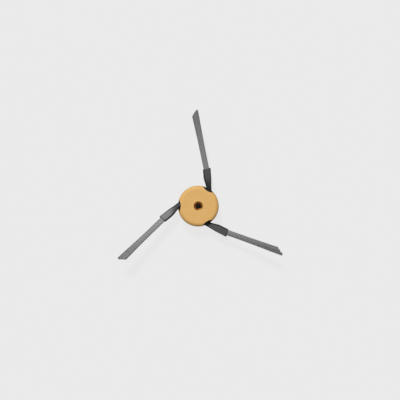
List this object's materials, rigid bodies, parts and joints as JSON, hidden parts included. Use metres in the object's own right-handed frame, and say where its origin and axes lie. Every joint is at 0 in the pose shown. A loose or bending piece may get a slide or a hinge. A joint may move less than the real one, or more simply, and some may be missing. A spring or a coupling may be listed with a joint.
{
  "type": "robot vacuum side brush",
  "caption": "Round side brush hub with a drive socket and a deep screw recess, clamping bent rubber arms that hold flat nylon tufts cut on a slant, for sweeping edges and corners.",
  "frame": {"origin": "on the spin axis, in the plane of the hub's seat face on the robot's side", "axes": "+Z along the spin axis, from the robot's side to the side that meets the floor; +X and +Y as right and up in the picture"},
  "size_m": [0.1316, 0.1195, 0.0223],
  "materials": {
    "cover_plastic": "fine moulded satin, ochre",
    "base_plastic": "fine moulded satin, near black",
    "arm_rubber": "smooth moulded rubber, dark grey",
    "bristle_nylon": "drawn nylon filament, mid grey"
  },
  "bodies": {
    "root": {"hub_cover": "cover_plastic", "hub_base": "base_plastic", "arm_1": "arm_rubber", "arm_2": "arm_rubber", "arm_3": "arm_rubber", "bristle_tuft_1": "bristle_nylon", "bristle_tuft_2": "bristle_nylon", "bristle_tuft_3": "bristle_nylon"}
  },
  "joints": []
}
